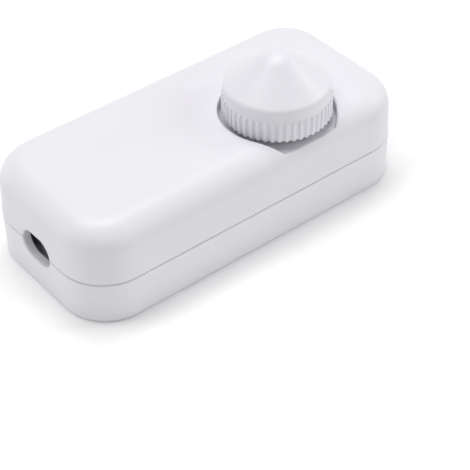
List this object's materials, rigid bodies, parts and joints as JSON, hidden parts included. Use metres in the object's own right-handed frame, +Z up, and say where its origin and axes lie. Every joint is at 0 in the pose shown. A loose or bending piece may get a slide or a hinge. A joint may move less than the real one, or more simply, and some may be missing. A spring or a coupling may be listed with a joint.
{
  "type": "rotary cord dimmer",
  "caption": "White inline lamp-cord dimmer: a rounded two-shell case with a cord inlet at each end and a ribbed, cone-topped knob that turns in a pocket open to one long side.",
  "frame": {"origin": "centre of the case's underside", "axes": "+X along the case towards the end nearer the knob, -Y towards the long side that the knob pocket opens on, +Z up"},
  "size_m": [0.09, 0.0428, 0.0395],
  "materials": {
    "case_plastic": "satin moulded white",
    "knob_plastic": "satin moulded white",
    "shaft_plastic": "plain moulded",
    "screw_steel": "zinc plated",
    "contact_brass": "plain",
    "bush_metal": "die cast",
    "plated_sheet": "zinc plated sheet",
    "phenolic": "pressed laminate",
    "tinned_wire": "tinned",
    "switch_plastic": "moulded black",
    "board_laminate": "paper laminate, bare",
    "moulding_compound": "moulded black",
    "tinned_plate": "tinned sheet",
    "heat_sink_aluminium": "rolled sheet",
    "ferrite": "sintered",
    "enamelled_copper": "enamelled copper wire",
    "capacitor_case": "moulded yellow box",
    "timer_case": "moulded red box",
    "resistor_lacquer": "lacquered",
    "diode_glass": "sealed glass",
    "fuse_glass": "clear tube",
    "terminal_plastic": "moulded green",
    "clamp_plastic": "plain moulded"
  },
  "bodies": {
    "housing": {"upper_housing": "case_plastic", "lower_cover": "case_plastic", "case_screws": "screw_steel", "pot_bushing": "bush_metal", "pot_case": "plated_sheet", "pot_wafer": "phenolic", "pot_terminals": "tinned_wire", "switch_case": "switch_plastic", "switch_terminals": "tinned_wire", "circuit_board": "board_laminate", "board_screws": "screw_steel", "triac_body": "moulding_compound", "triac_tab": "tinned_plate", "triac_screw": "screw_steel", "triac_nut": "screw_steel", "heat_sink": "heat_sink_aluminium", "choke_core": "ferrite", "choke_winding": "enamelled_copper", "suppression_capacitor": "capacitor_case", "timing_capacitor": "timer_case", "resistors": "resistor_lacquer", "trigger_diode": "diode_glass", "component_leads": "tinned_wire", "fuse_glass": "fuse_glass", "fuse_caps": "contact_brass", "fuse_clips": "tinned_plate", "terminal_block_in": "terminal_plastic", "terminal_block_out": "terminal_plastic", "terminal_cages": "contact_brass", "terminal_screws": "screw_steel", "cord_clamp_in": "clamp_plastic", "cord_clamp_out": "clamp_plastic", "clamp_screws": "screw_steel"},
    "knob": {"control_knob": "knob_plastic", "pot_shaft": "shaft_plastic", "pot_wiper": "contact_brass"}
  },
  "joints": [
    {"name": "knob_turn", "type": "hinge", "parent": "housing", "child": "knob", "pos_m": [0.0156, -0.0083, 0.03], "axis": [0, 0, -1], "range_deg": [0, 300]}
  ]
}
